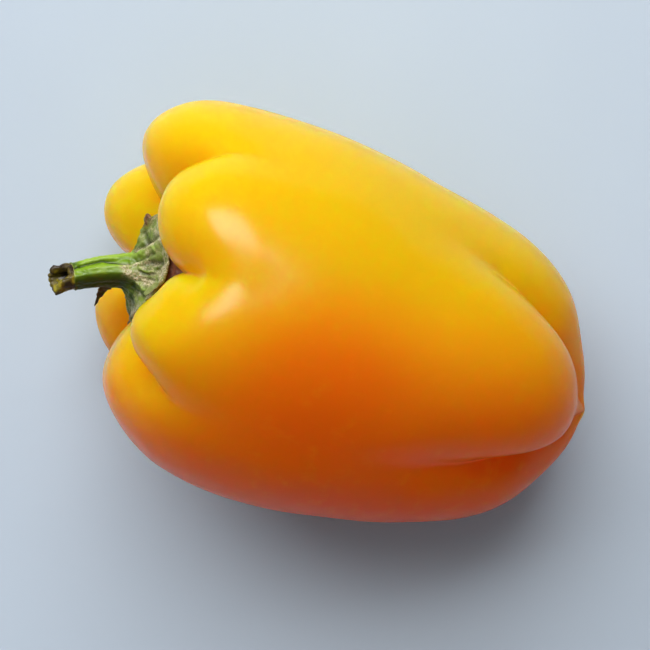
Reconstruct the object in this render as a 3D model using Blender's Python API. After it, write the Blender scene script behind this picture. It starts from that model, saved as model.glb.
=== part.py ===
"""Bell pepper, as picked, lying on its side.

Three grown pieces: the fruit body, the calyx that caps the stem cavity, and
the stem (peduncle) with its dried cut end.

Each piece is drawn in the fruit's own frame, in millimetres: x runs along the
fruit from the stem cavity to the blossom end, y is to the side and z is up.
An azimuth goes round the x axis from +y (0) over the top (90). The pieces are
then laid down: the stem end is tipped up, and the fruit stands on three feet,
two under the shoulders and one near the blossom end, pressed slightly flat.
World origin: on the surface, under the middle of the whole object.
"""
import math

import bmesh
import bpy
import numpy as np
from mathutils import Matrix

MM = 0.001

# --- how it lies -----------------------------------------------------------
PITCH_DEG = 11.0        # stem end up
FOOT_FLAT = 0.45        # mm that each foot is pressed flat on the surface

# --- mesh density ----------------------------------------------------------
FRUIT_ROUND, FRUIT_LONG = 72, 40
CALYX_ROUND, CALYX_LONG = 40, 16
STEM_ROUND, STEM_LONG = 20, 17

# --- fruit body ------------------------------------------------------------
# Fifteen rings follow the skin from the middle of the stem cavity (0), over
# the shoulder (6) and along the belly, to the middle of the blossom end (14).
#          pole  floor floor wall  top    brow  shldr belly belly mid   flank toe   toe   lip   pole
RING_X  = [0.5,  0.3, -0.8, -6.0, -11.0, -9.0, -1.0, 12.0, 32.0, 53.0, 71.0, 85.0, 93.0, 97.0, 103.0]
# ring radius at the +y side, the top, the -y side and the bottom
R_LEFT  = [0.0,  5.0, 10.5, 16.0, 24.5, 32.5, 38.3, 40.6, 41.0, 38.2, 34.8, 28.0, 18.6,  8.4,  0.0]
R_TOP   = [0.0,  5.0, 10.5, 16.0, 24.5, 33.5, 39.5, 41.5, 41.0, 39.0, 36.5, 31.0, 21.5, 10.5,  0.0]
R_RIGHT = [0.0,  5.0, 10.5, 16.0, 24.5, 31.5, 38.0, 43.0, 44.7, 42.0, 37.4, 29.8, 19.0,  8.6,  0.0]
R_UNDER = [0.0,  5.0, 10.5, 16.0, 24.5, 33.4, 40.2, 43.4, 37.6, 32.4, 29.3, 27.3, 20.5,  9.0,  0.0]
# how far the ring leans along x at the same four sides
X_LEFT  = [0.0,  0.0,  0.0, -1.0, -1.8, -2.0, -2.0, -1.0,  0.0,  0.0,  0.5,  1.8,  1.7,  3.2,  0.0]
X_TOP   = [0.0,  0.8,  1.7,  2.5,  3.0,  3.0,  2.0,  1.0,  0.0,  0.0,  0.0,  0.3,  1.0,  0.3,  0.0]
X_RIGHT = [0.0,  0.0,  0.0,  2.2,  5.6,  6.1,  5.0,  3.0,  1.0,  0.0,  0.5,  2.6,  3.9,  5.4,  0.0]
X_UNDER = [0.0, -0.8, -1.7, -2.5, -3.0, -3.5, -3.0, -1.0,  0.0,  0.0,  0.5,  2.5,  5.0,  6.0,  0.0]
# the direction (x, r) in which a furrow sinks at each ring
SINK_X  = [0.0,  0.5,  0.9,  1.0,  1.0,  0.9,  0.6,  0.25, 0.05, 0.0, -0.15, -0.45, -0.8, -1.0, -0.5]
SINK_R  = [0.0,  0.0,  0.0,  0.0, -0.15, -0.5, -0.8, -0.97, -1.0, -1.0, -0.98, -0.88, -0.55, -0.1, 0.0]
# how round a lobe is between its furrows: 1 a parabola, 2 a half circle
LOBE    = [1.0,  1.2,  1.4,  1.6,  1.7,  1.65, 1.4,  1.15, 1.0,  1.05, 1.25, 1.45, 1.5,  1.3,  1.0]

# Six furrows part six shoulder lobes; four of them run on to the blossom end.
# Azimuth, reach and softness (degrees) are given at seven rings, the depth
# (mm) at twelve.
AZ_RINGS = [2, 4, 6, 8, 10, 12, 13]
DEPTH_RINGS = [1, 3, 4, 5, 6, 7, 8, 9, 10, 11, 12, 13]
FURROWS = {
    "upper_left": dict(
        az=[36, 36, 40, 44.5, 43, 49, 52],
        depth=[0.5, 7.0, 10.5, 8.5, 4.8, 2.0, 1.2, 2.6, 6.3, 8.4, 8.0, 3.5],
        reach=[26, 28, 34, 42, 42, 40, 38], soft=[1, 1, 2, 10, 3.5, 4, 7]),
    "top": dict(
        az=[89, 89, 88, 87, 88, 90, 90],
        depth=[0.5, 4.6, 8.6, 8.6, 5.8, 2.0, 0.3, 0, 0, 0, 0, 0],
        reach=[26, 27, 30, 34, 34, 34, 34], soft=[1, 1.5, 6, 10, 10, 10, 10]),
    "upper_right": dict(
        az=[142, 142, 137, 133, 133, 132, 131],
        depth=[0.5, 7.0, 10.0, 9.0, 5.5, 2.8, 2.2, 3.2, 6.5, 9.5, 9.0, 5.0],
        reach=[26, 28, 34, 42, 42, 40, 38], soft=[1, 1, 2, 8, 4, 3.5, 7]),
    "lower_right": dict(
        az=[212, 212, 214, 216, 217, 216, 216],
        depth=[0.5, 6.0, 9.0, 8.0, 5.0, 2.4, 1.6, 2.0, 3.2, 4.6, 5.4, 4.0],
        reach=[26, 28, 34, 40, 40, 38, 38], soft=[1, 1.5, 4, 10, 7, 5, 7]),
    "under": dict(
        az=[268, 268, 270, 270, 270, 270, 270],
        depth=[0.5, 6.0, 11.0, 9.0, 6.0, 3.5, 0.8, 0, 0, 0, 0, 0],
        reach=[26, 28, 32, 34, 34, 34, 34], soft=[1, 2, 7, 10, 10, 10, 10]),
    "lower_left": dict(
        az=[328, 328, 327, 325, 324, 323, 322],
        depth=[0.5, 6.0, 9.0, 8.0, 5.0, 2.4, 1.6, 2.0, 3.2, 4.6, 5.4, 4.0],
        reach=[26, 28, 34, 40, 40, 38, 38], soft=[1, 1.5, 4, 10, 7, 5, 7]),
}

# Swells on single lobes: azimuth, width (degrees), push along x, push out (mm)
SHOULDER_SWELLS = [(8, 28, -0.2, 0.0), (60, 22, 1.6, 0.0), (103, 15, 3.1, 0.0), (114, 26, 1.1, 0.0),
                   (240, 26, 2.2, -1.0), (288, 22, -1.6, 0.6), (318, 16, 1.0, -1.5)]
SHOULDER_WEIGHT = [0, 0, 0.25, 0.8, 1, 1, 0.7, 0.3, 0, 0, 0, 0, 0, 0, 0]
TOE_SWELLS = [(118, 24, 1.6, 0.0)]
TOE_WEIGHT = [0, 0, 0, 0, 0, 0, 0, 0, 0, 0, 0.3, 0.7, 1.0, 0.8, 0]
FOOT_SWELLS = [(245, 20, 0.0, 3.1), (293, 20, 0.0, 3.05)]
FOOT_WEIGHT = [0, 0, 0, 0, 0.1, 0.4, 0.8, 1.0, 0.7, 0.55, 0.6, 0.6, 0.3, 0, 0]

# --- calyx -----------------------------------------------------------------
CALYX_GAP = 0.35                # between the calyx and the cavity floor
CALYX_LIFT = 0.9                # more at the tips of the longest teeth
CALYX_RIM = 9.2                 # radius between the teeth
CALYX_EDGE = 1.0                # thickness at the rim
CALYX_CENTRE = (-1.2, 0.0)      # middle of the rim (y, z)
NECK_CENTRE = (-3.2, 0.3)       # middle of the neck, where the stem starts
NECK_RADIUS = 4.3
NECK_X = -8.0
# teeth of the rim: azimuth, reach past the rim (mm), width (degrees)
TEETH = [(30, 0.4, 14), (72, 1.6, 13), (112, 3.6, 11), (150, 0.8, 10), (184, 5.2, 11),
         (226, 2.6, 12), (272, 3.0, 13), (318, 4.4, 9), (340, 3.0, 8)]

# --- stem ------------------------------------------------------------------
STEM_GAP = 0.3                  # between the stem and the calyx neck
#           base   bend   mid    end    tip
STEM_X = [NECK_X - STEM_GAP, -12.6, -17.0, -20.5, -23.9]
STEM_Y = [-3.2,  -5.0,  -7.2,  -8.9, -10.3]
STEM_Z = [0.3,    0.6,   1.0,   1.3,   1.6]
STEM_R = [4.2,    3.55,  3.2,   3.15,  3.2]
STEM_RIBS = 5
RIB_DEPTH = 0.07                # of the radius
END_DISH = 1.0                  # depth of the hollow in the cut end

RINGS = len(RING_X)


def natural(knots, values, at):
    """Natural cubic spline through (knots, values); values may have columns."""
    k, v = np.asarray(knots, float), np.asarray(values, float)
    flat = v.ndim == 1
    v = v.reshape(len(k), -1)
    n, h = len(k), np.diff(k)
    a, b = np.eye(n), np.zeros_like(v)
    for i in range(1, n - 1):
        a[i, i - 1:i + 2] = h[i - 1], 2 * (h[i - 1] + h[i]), h[i]
        b[i] = 6 * ((v[i + 1] - v[i]) / h[i] - (v[i] - v[i - 1]) / h[i - 1])
    m = np.linalg.solve(a, b)
    at = np.asarray(at, float)
    i = np.clip(np.searchsorted(k, at) - 1, 0, n - 2)
    d = (at - k[i])[:, None]
    s, hi = h[i][:, None], (k[i + 1] - at)[:, None]
    out = (m[i] * hi ** 3 + m[i + 1] * d ** 3) / (6 * s) \
        + (v[i] / s - m[i] * s / 6) * hi + (v[i + 1] / s - m[i + 1] * s / 6) * d
    return out[:, 0] if flat else out


def monotone(knots, values, at):
    """Cubic curve through (knots, values) that never overshoots them."""
    k, v, at = (np.asarray(q, float) for q in (knots, values, at))
    h = np.diff(k)
    slope = np.diff(v) / h
    m = np.zeros_like(v)
    for i in range(1, len(k) - 1):
        if slope[i - 1] * slope[i] > 0:
            w1, w2 = 2 * h[i] + h[i - 1], h[i] + 2 * h[i - 1]
            m[i] = (w1 + w2) / (w1 / slope[i - 1] + w2 / slope[i])
    m[0], m[-1] = slope[0], slope[-1]
    at = np.clip(at, k[0], k[-1])
    i = np.clip(np.searchsorted(k, at) - 1, 0, len(k) - 2)
    t = (at - k[i]) / h[i]
    return ((2 * t ** 3 - 3 * t ** 2 + 1) * v[i] + (t ** 3 - 2 * t ** 2 + t) * h[i] * m[i]
            + (3 * t ** 2 - 2 * t ** 3) * v[i + 1] + (t ** 3 - t ** 2) * h[i] * m[i + 1])


def turn(angle):
    """An angle brought between -pi and pi."""
    return (angle + np.pi) % (2 * np.pi) - np.pi


def fruit_skin(rings, azimuths):
    """The skin at each ring (rows) and azimuth (columns): x, y, z in mm."""
    k = np.arange(RINGS)
    sides = np.radians([0, 90, 180, 270])[:, None]
    share = 0.5 + 0.5 * np.cos(np.pi * np.clip(np.abs(turn(azimuths[None] - sides)) / (np.pi / 2), 0, 1))
    radius = natural(k, np.array([R_LEFT, R_TOP, R_RIGHT, R_UNDER]).T @ share, rings)
    x = natural(k, np.array(RING_X)[:, None] + np.array([X_LEFT, X_TOP, X_RIGHT, X_UNDER]).T @ share, rings)
    sink_x, sink_r = (natural(k, q, rings)[:, None] for q in (SINK_X, SINK_R))
    lobe = monotone(k, LOBE, rings)[:, None]
    push_x, push_r = np.zeros_like(x), np.zeros_like(x)
    at = np.clip(rings, AZ_RINGS[0], AZ_RINGS[-1])
    for f in FURROWS.values():
        az, reach, soft = (np.radians(monotone(AZ_RINGS, f[q], at))[:, None] for q in ("az", "reach", "soft"))
        depth = monotone([0] + DEPTH_RINGS + [RINGS - 1], [0] + f["depth"] + [0], rings)[:, None]
        off = np.abs(turn(azimuths[None] - az))
        off = np.sqrt(off * off + soft * soft) - soft
        u = np.clip(1 - off / reach, 0, 1)
        sunk = depth * (1 - (1 - u * u) ** (1 / lobe))
        push_x += sunk * sink_x
        push_r += sunk * sink_r
    for swells, weight in ((SHOULDER_SWELLS, SHOULDER_WEIGHT), (TOE_SWELLS, TOE_WEIGHT), (FOOT_SWELLS, FOOT_WEIGHT)):
        w = monotone(k, weight, rings)[:, None]
        for az, width, along, out in swells:
            s = w * np.exp(-(turn(azimuths[None] - math.radians(az)) / math.radians(width)) ** 2)
            push_x += s * along
            push_r += s * out
    radius = np.maximum(radius + push_r, 0)
    return np.stack([x + push_x, radius * np.cos(azimuths), radius * np.sin(azimuths)], -1)


def even_rings(count):
    """Ring positions spaced evenly along the skin, pole to pole."""
    fine = np.linspace(0, RINGS - 1, 701)
    skin = fruit_skin(fine, np.radians(np.arange(0, 360, 30)))
    step = np.linalg.norm(np.diff(skin, axis=0), axis=2).mean(1)
    length = np.concatenate([[0], np.cumsum(step)])
    return np.interp(np.linspace(0, length[-1], count + 1), length, fine)


def cavity_floor(y, z):
    """x of the cavity floor under each point (y, z), furrows included."""
    fine = np.linspace(0, 4, 81)
    out = np.empty_like(y)
    for i, (a, b) in enumerate(zip(y, z)):
        skin = fruit_skin(fine, np.array([math.atan2(b, a)]))[:, 0]
        out[i] = np.interp(math.hypot(a, b), np.hypot(skin[:, 1], skin[:, 2]), skin[:, 0])
    return out


def sphere_grid(name, around, along, points, collection, material):
    """A sphere whose vertices are moved to points[row, column].

    Row 0 is the pole towards -x and the last row the pole towards +x.
    """
    bm = bmesh.new()
    bmesh.ops.create_uvsphere(bm, u_segments=around, v_segments=along, radius=1.0)
    for v in bm.verts:
        polar = math.acos(max(-1.0, min(1.0, v.co.z)))
        row = along - round(polar / math.pi * along)
        col = round(math.atan2(v.co.y, v.co.x) / (2 * math.pi) * around) % around
        v.co = [float(q) * MM for q in points[row, 0 if row in (0, along) else col]]
    mesh = bpy.data.meshes.new(name)
    bm.to_mesh(mesh)
    bm.free()
    mesh.shade_smooth()
    mesh.materials.append(material)
    obj = bpy.data.objects.new(name, mesh)
    collection.objects.link(obj)
    return obj


def lay_down():
    """Rotation from the fruit's frame to how it lies."""
    return Matrix.Rotation(math.radians(PITCH_DEG), 3, "Y")


def fruit_points():
    """Fruit skin, with its feet pressed flat, and the height of the surface."""
    azimuths = np.arange(FRUIT_ROUND) * 2 * np.pi / FRUIT_ROUND
    p = fruit_skin(even_rings(FRUIT_LONG), azimuths)
    up = np.array(lay_down())[2]
    height = p @ up
    ground = height.min() + FOOT_FLAT
    return p + np.clip(ground - height, 0, None)[..., None] * up, ground


def rim_radius(phi):
    """Radius of the calyx rim, with its teeth."""
    r = np.full_like(phi, CALYX_RIM)
    for az, reach, width in TEETH:
        r += reach * np.exp(-(turn(phi - math.radians(az)) / math.radians(width)) ** 2)
    return r


def calyx_points():
    """Flared cap: neck seat, flare and rim on top, cavity floor beneath."""
    phi = np.arange(CALYX_ROUND) * 2 * np.pi / CALYX_ROUND
    rim = rim_radius(phi)
    half = CALYX_LONG // 2
    rows = []

    def spot(flare, rho):
        """y and z at a distance rho, the middle moving from neck to rim."""
        mid = [a + (b - a) * flare for a, b in zip(NECK_CENTRE, CALYX_CENTRE)]
        return mid[0] + rho * np.cos(phi), mid[1] + rho * np.sin(phi)

    def under(y, z):
        return cavity_floor(y, z) - CALYX_GAP - CALYX_LIFT * (np.hypot(y, z) / 15) ** 2

    for i in range(half + 1):                       # neck seat, then the flare
        if i < 2:
            y, z = spot(0.0, np.full_like(phi, NECK_RADIUS * i / 2))
            x = np.full_like(phi, NECK_X)
        else:
            s = (i - 2) / (half - 2)
            y, z = spot(s, NECK_RADIUS + (rim - NECK_RADIUS) * s)
            drop = 1 - (1 - s) ** 2.2
            x = NECK_X * (1 - drop) + (under(y, z) - CALYX_EDGE) * drop
        rows.append(np.stack([x, y, z], -1))
    for i in range(half):                           # underside, rim to middle
        s = 1 - i / half
        y, z = spot(1.0, (rim - 0.15) * s)
        rows.append(np.stack([under(y, z), y, z], -1))
    y, z = spot(1.0, 0 * phi)
    rows.append(np.stack([under(y, z), y, z], -1))
    return np.array(rows)


def stem_points():
    """Ribbed, curved stem from its cut end (row 0) to the calyx (last row)."""
    phi = np.arange(STEM_ROUND) * 2 * np.pi / STEM_ROUND
    k = np.arange(len(STEM_X))
    track = np.array([STEM_X, STEM_Y, STEM_Z, STEM_R]).T
    stations = list(np.linspace(0, k[-1], STEM_LONG - 3))
    rows = []

    def ring(s, share, lift=0.0):
        at = natural(k, track, [s])[0]
        ahead = natural(k, track, [min(s + 0.02, k[-1])])[0][:3] - natural(k, track, [max(s - 0.02, 0)])[0][:3]
        ahead /= np.linalg.norm(ahead)
        w = min(s / 1.2, 1.0)
        w = w * w * (3 - 2 * w)
        n = (1 - w) * np.array([-1.0, 0.0, 0.0]) + w * ahead     # square to the neck at the base
        n /= np.linalg.norm(n)
        side = np.cross([0.0, 0.0, 1.0], n)
        side /= np.linalg.norm(side)
        up = np.cross(n, side)
        r = at[3] * share * (1 + RIB_DEPTH * np.cos(STEM_RIBS * (phi - 1.2)))
        return at[:3] + lift * n - np.outer(r * np.cos(phi), side) + np.outer(r * np.sin(phi), up)

    rows.append(ring(stations[-1], 0.0, -END_DISH))
    rows.append(ring(stations[-1], 0.55, -END_DISH))
    for s in reversed(stations):
        rows.append(ring(s, 1.0))
    rows.append(ring(0.0, 0.5))
    rows.append(ring(0.0, 0.0))
    return np.array(rows)


def skin_material(name, colour, roughness):
    mat = bpy.data.materials.new(name)
    mat.use_nodes = True
    node = mat.node_tree.nodes["Principled BSDF"]
    node.inputs["Base Color"].default_value = (*colour, 1.0)
    node.inputs["Roughness"].default_value = roughness
    node.inputs["Metallic"].default_value = 0.0
    mat.diffuse_color = (*colour, 1.0)
    return mat


def main():
    for obj in list(bpy.data.objects):
        bpy.data.objects.remove(obj, do_unlink=True)
    parts = bpy.data.collections.new("bell_pepper")
    bpy.context.scene.collection.children.link(parts)

    fruit, ground = fruit_points()
    calyx = calyx_points()
    stem = stem_points()

    turned = np.array(lay_down())
    everything = np.concatenate([q.reshape(-1, 3) for q in (fruit, calyx, stem)]) @ turned.T
    low, high = everything.min(0), everything.max(0)
    middle = (low + high) / 2
    rest = bpy.data.objects.new("rest_pose", None)
    rest.location = [-middle[0] * MM, -middle[1] * MM, -float(ground) * MM]
    rest.rotation_euler = (0.0, math.radians(PITCH_DEG), 0.0)
    parts.objects.link(rest)

    yellow = skin_material("pepper_skin", (0.90, 0.52, 0.01), 0.25)
    green = skin_material("calyx_green", (0.20, 0.26, 0.07), 0.60)
    bright = skin_material("stem_green", (0.22, 0.38, 0.05), 0.45)
    for name, around, along, points, material in (
            ("fruit_body", FRUIT_ROUND, FRUIT_LONG, fruit, yellow),
            ("calyx", CALYX_ROUND, CALYX_LONG, calyx, green),
            ("peduncle", STEM_ROUND, STEM_LONG, stem, bright)):
        piece = sphere_grid(name, around, along, points, parts, material)
        piece.parent = rest
    bpy.context.view_layer.update()


main()
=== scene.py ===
import math

import bpy
import numpy as np
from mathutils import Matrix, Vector


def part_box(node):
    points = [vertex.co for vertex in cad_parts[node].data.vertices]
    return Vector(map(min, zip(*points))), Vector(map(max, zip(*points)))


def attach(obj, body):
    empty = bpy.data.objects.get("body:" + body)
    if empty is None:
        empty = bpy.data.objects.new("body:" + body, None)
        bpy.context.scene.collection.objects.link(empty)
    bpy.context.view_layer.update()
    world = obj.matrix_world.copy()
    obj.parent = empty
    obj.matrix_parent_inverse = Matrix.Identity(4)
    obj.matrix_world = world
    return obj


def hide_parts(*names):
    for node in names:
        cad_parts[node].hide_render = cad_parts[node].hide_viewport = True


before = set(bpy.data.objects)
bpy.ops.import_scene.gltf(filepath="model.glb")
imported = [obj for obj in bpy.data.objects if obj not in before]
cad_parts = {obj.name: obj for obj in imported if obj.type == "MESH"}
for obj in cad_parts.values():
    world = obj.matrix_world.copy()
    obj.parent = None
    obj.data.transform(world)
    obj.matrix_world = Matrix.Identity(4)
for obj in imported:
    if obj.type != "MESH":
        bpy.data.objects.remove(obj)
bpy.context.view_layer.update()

MM = 0.001

# ---------------------------------------------------------------------------
# The fruit's own frame, in mm: x from the stem cavity to the blossom end, y to
# the side, z up. An azimuth goes round x from +y (0) over the top (90).
# ---------------------------------------------------------------------------
PITCH_DEG = 11.0        # stem end up
FOOT_FLAT = 0.45        # mm that each foot is pressed flat

#          pole  floor floor wall  top    brow  shldr belly belly mid   flank toe   toe   lip   pole
RING_X  = [0.5,  0.3, -0.8, -6.0, -11.0, -9.0, -1.0, 12.0, 32.0, 53.0, 71.0, 85.0, 93.0, 97.0, 103.0]
R_LEFT  = [0.0,  5.0, 10.5, 16.0, 24.5, 32.5, 38.3, 40.6, 41.0, 38.2, 34.8, 28.0, 18.6,  8.4,  0.0]
R_TOP   = [0.0,  5.0, 10.5, 16.0, 24.5, 33.5, 39.5, 41.5, 41.0, 39.0, 36.5, 31.0, 21.5, 10.5,  0.0]
R_RIGHT = [0.0,  5.0, 10.5, 16.0, 24.5, 31.5, 38.0, 43.0, 44.7, 42.0, 37.4, 29.8, 19.0,  8.6,  0.0]
R_UNDER = [0.0,  5.0, 10.5, 16.0, 24.5, 33.4, 40.2, 43.4, 37.6, 32.4, 29.3, 27.3, 20.5,  9.0,  0.0]
X_LEFT  = [0.0,  0.0,  0.0, -1.0, -1.8, -2.0, -2.0, -1.0,  0.0,  0.0,  0.5,  1.8,  1.7,  3.2,  0.0]
X_TOP   = [0.0,  0.8,  1.7,  2.5,  3.0,  3.0,  2.0,  1.0,  0.0,  0.0,  0.0,  0.3,  1.0,  0.3,  0.0]
X_RIGHT = [0.0,  0.0,  0.0,  2.2,  5.6,  6.1,  5.0,  3.0,  1.0,  0.0,  0.5,  2.6,  3.9,  5.4,  0.0]
X_UNDER = [0.0, -0.8, -1.7, -2.5, -3.0, -3.5, -3.0, -1.0,  0.0,  0.0,  0.5,  2.5,  5.0,  6.0,  0.0]
SINK_X  = [0.0,  0.5,  0.9,  1.0,  1.0,  0.9,  0.6,  0.25, 0.05, 0.0, -0.15, -0.45, -0.8, -1.0, -0.5]
SINK_R  = [0.0,  0.0,  0.0,  0.0, -0.15, -0.5, -0.8, -0.97, -1.0, -1.0, -0.98, -0.88, -0.55, -0.1, 0.0]
LOBE    = [1.0,  1.2,  1.4,  1.6,  1.7,  1.65, 1.4,  1.15, 1.0,  1.05, 1.25, 1.45, 1.5,  1.3,  1.0]
RINGS = len(RING_X)

AZ_RINGS = [2, 4, 6, 8, 10, 12, 13]
DEPTH_RINGS = [1, 3, 4, 5, 6, 7, 8, 9, 10, 11, 12, 13]
FURROWS = {
    "upper_left": dict(
        az=[36, 36, 40, 44.5, 43, 49, 52],
        depth=[0.5, 7.0, 10.5, 8.5, 4.8, 2.0, 1.2, 2.6, 6.3, 8.4, 8.0, 3.5],
        reach=[26, 28, 34, 42, 42, 40, 38], soft=[1, 1, 2, 10, 3.5, 4, 7]),
    "top": dict(
        az=[89, 89, 88, 87, 88, 90, 90],
        depth=[0.5, 4.6, 8.6, 8.6, 5.8, 2.0, 0.3, 0, 0, 0, 0, 0],
        reach=[26, 27, 30, 34, 34, 34, 34], soft=[1, 1.5, 6, 10, 10, 10, 10]),
    "upper_right": dict(
        az=[142, 142, 137, 133, 133, 132, 131],
        depth=[0.5, 7.0, 10.0, 9.0, 5.5, 2.8, 2.2, 3.2, 6.5, 9.5, 9.0, 5.0],
        reach=[26, 28, 34, 42, 42, 40, 38], soft=[1, 1, 2, 8, 4, 3.5, 7]),
    "lower_right": dict(
        az=[212, 212, 214, 216, 217, 216, 216],
        depth=[0.5, 6.0, 9.0, 8.0, 5.0, 2.4, 1.6, 2.0, 3.2, 4.6, 5.4, 4.0],
        reach=[26, 28, 34, 40, 40, 38, 38], soft=[1, 1.5, 4, 10, 7, 5, 7]),
    "under": dict(
        az=[268, 268, 270, 270, 270, 270, 270],
        depth=[0.5, 6.0, 11.0, 9.0, 6.0, 3.5, 0.8, 0, 0, 0, 0, 0],
        reach=[26, 28, 32, 34, 34, 34, 34], soft=[1, 2, 7, 10, 10, 10, 10]),
    "lower_left": dict(
        az=[328, 328, 327, 325, 324, 323, 322],
        depth=[0.5, 6.0, 9.0, 8.0, 5.0, 2.4, 1.6, 2.0, 3.2, 4.6, 5.4, 4.0],
        reach=[26, 28, 34, 40, 40, 38, 38], soft=[1, 1.5, 4, 10, 7, 5, 7]),
}
SHOULDER_SWELLS = [(8, 28, -0.2, 0.0), (60, 22, 1.6, 0.0), (103, 15, 3.1, 0.0), (114, 26, 1.1, 0.0),
                   (240, 26, 2.2, -1.0), (288, 22, -1.6, 0.6), (318, 16, 1.0, -1.5)]
SHOULDER_WEIGHT = [0, 0, 0.25, 0.8, 1, 1, 0.7, 0.3, 0, 0, 0, 0, 0, 0, 0]
TOE_SWELLS = [(118, 24, 1.6, 0.0)]
TOE_WEIGHT = [0, 0, 0, 0, 0, 0, 0, 0, 0, 0, 0.3, 0.7, 1.0, 0.8, 0]
FOOT_SWELLS = [(245, 20, 0.0, 3.1), (293, 20, 0.0, 3.05)]
FOOT_WEIGHT = [0, 0, 0, 0, 0.1, 0.4, 0.8, 1.0, 0.7, 0.55, 0.6, 0.6, 0.3, 0, 0]

# --- stem: middle line and radius, from the calyx neck to the cut end --------
STEM_X = [-8.3, -12.6, -17.0, -20.5, -23.6]
STEM_Y = [-3.2,  -5.0,  -7.3,  -9.2, -10.6]
STEM_Z = [0.3,    0.6,   1.0,   1.3,   1.6]
STEM_R = [4.25,   3.6,   3.25,  3.0,   2.95]
# its five-sided section: azimuth and share of the radius
SECTION = [(18, 0.94), (38, 0.95), (52, 0.88), (70, 1.0), (92, 1.06), (106, 1.04), (146, 0.85), (183, 1.03),
           (219, 0.87), (255, 1.04), (288, 0.89), (320, 1.00), (350, 0.89)]
# calyx rim round its middle (y -1.2, z 0): azimuth, radius, x
RIM_MIDDLE = (-1.2, 0.0)
RIM = [(0, 9.2, -5.8), (10, 9.0, -6.6), (16.0, 10.7, -7.5), (19.0, 11.6, -8.0), (21.0, 11.5, -7.6), (24.0, 11.5, -6.9),
       (27.0, 13.4, -6.0), (31, 12.9, -5.4), (46, 12.5, -4.5), (51, 12.0, -3.9), (57, 12.8, -3.3),
       (63, 12.0, -2.5), (69, 12.3, -1.7), (77, 11.6, -1.0), (85, 11.6, -0.8), (93, 10.8, -0.7),
       (101, 10.5, -0.8), (112, 9.7, -1.5), (121, 10.1, -1.9), (133, 9.9, -2.5), (145, 10.6, -2.9),
       (156, 10.4, -3.2), (168, 10.9, -3.5), (180, 11.0, -3.4), (188, 12.3, -3.1), (193, 11.4, -4.0),
       (199, 9.4, -5.2), (206, 8.4, -5.8), (214, 8.4, -5.0), (226, 10.4, -3.6), (240, 9.3, -2.0), (256, 9.4, -2.2),
       (272, 12.6, -2.6), (286, 9.5, -2.2), (302, 9.3, -2.2), (318, 13.8, -2.6), (328, 9.9, -2.6),
       (340, 11.6, -3.8), (350, 9.4, -5.4)]
# how far the flare runs on inwards before it turns out, mm, by azimuth
FLARE_RUN = [(0, 1.0), (22, 0.9), (45, 2.4), (90, 3.3), (130, 3.1), (160, 2.2), (190, 1.3), (212, 1.3), (250, 3.0),
             (300, 3.4), (340, 1.8)]

# Marks on the calyx and the stem: points in mm right of and up from the middle
# of the calyx as seen from straight above, half width, amount.
FOLDS = [
    ([(-19.1, 0.45), (-16.4, 1.25), (-14.0, 1.6), (-11.7, 1.45), (-9.7, 1.05), (-8.1, 1.05), (-6.5, 1.5),
      (-5.0, 2.0), (-3.6, 2.6), (-2.8, 3.15)], 0.42, -0.62),
    ([(-17.8, 1.7), (-14.4, 2.4), (-10.6, 2.5), (-6.5, 3.1), (-3.6, 4.0), (-1.6, 5.2)], 0.65, 0.28),
    ([(-18.2, -0.5), (-14.6, 0.2), (-11.2, 0.3), (-9.2, 0.4), (-5.9, 1.0), (-3.2, 2.0), (-1.6, 2.6)], 0.55, 0.30),
    ([(-20.2, -1.9), (-15.8, -1.3), (-12.4, -1.0), (-9.2, -1.1), (-6.5, -2.2), (-5.0, -4.0)], 0.50, 0.22),
    ([(-5.6, -0.4), (-3.8, -0.6), (-2.2, -0.8)], 0.40, 0.38),
    ([(-5.9, -0.95), (-3.8, -1.25), (-2.6, -1.5)], 0.32, -0.34),
    ([(-3.6, 1.2), (-2.3, 0.9), (-1.1, 1.0)], 0.50, -0.65),
    ([(-6.6, 4.0), (-4.6, 5.0), (-3.0, 5.9), (-1.8, 7.2)], 0.42, -0.60),
    ([(-6.3, 3.3), (-4.4, 4.2), (-2.6, 5.1), (-1.2, 6.4)], 0.50, 0.34),
    ([(-4.4, 8.1), (-3.9, 6.8), (-4.1, 5.4)], 0.50, -0.50),
    ([(-6.9, 5.0), (-5.8, 7.0), (-5.0, 9.0)], 0.60, 0.25),
    ([(-6.4, -3.3), (-5.2, -4.3), (-4.4, -5.1)], 0.45, 0.42),
    ([(-7.4, -4.2), (-5.9, -5.4), (-5.2, -6.6)], 0.60, -0.55),
    ([(-4.4, -5.6), (-3.4, -5.2)], 0.55, -0.60),
    ([(-1.0, 4.6), (-0.6, 2.6), (-0.9, 0.6), (-1.6, -1.6)], 0.40, -0.30),
    ([(-8.4, -6.4), (-8.0, -9.2), (-7.6, -11.0)], 0.60, 0.30),
]
CORK = [
    ([(-9.6, 0.35), (-7.9, 0.5), (-5.9, 0.8), (-4.2, 1.2)], 0.62, 0.95),
    ([(-8.7, -0.8), (-6.9, -1.6), (-5.2, -2.5), (-3.4, -3.4)], 0.85, 1.25),
    ([(-5.4, 0.0), (-3.4, -0.1)], 0.55, 0.55),
    ([(0.2, 4.4), (0.1, 2.8), (0.0, 1.2), (-0.5, -0.8), (-1.4, -2.6)], 0.75, 0.95),
    ([(-6.3, 4.1), (-4.3, 4.8), (-2.3, 5.8), (-1.0, 7.0)], 0.55, 0.75),
    ([(-2.0, 8.2), (-3.0, 8.6), (-4.0, 8.4)], 0.60, 0.55),
    ([(-3.6, 3.5), (-1.8, 4.1)], 0.80, 0.45),
    ([(-1.9, 2.1), (-2.6, -2.2)], 0.90, 0.35),
    ([(-6.2, -3.5), (-5.0, -4.5)], 0.30, 0.50),
]
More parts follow.
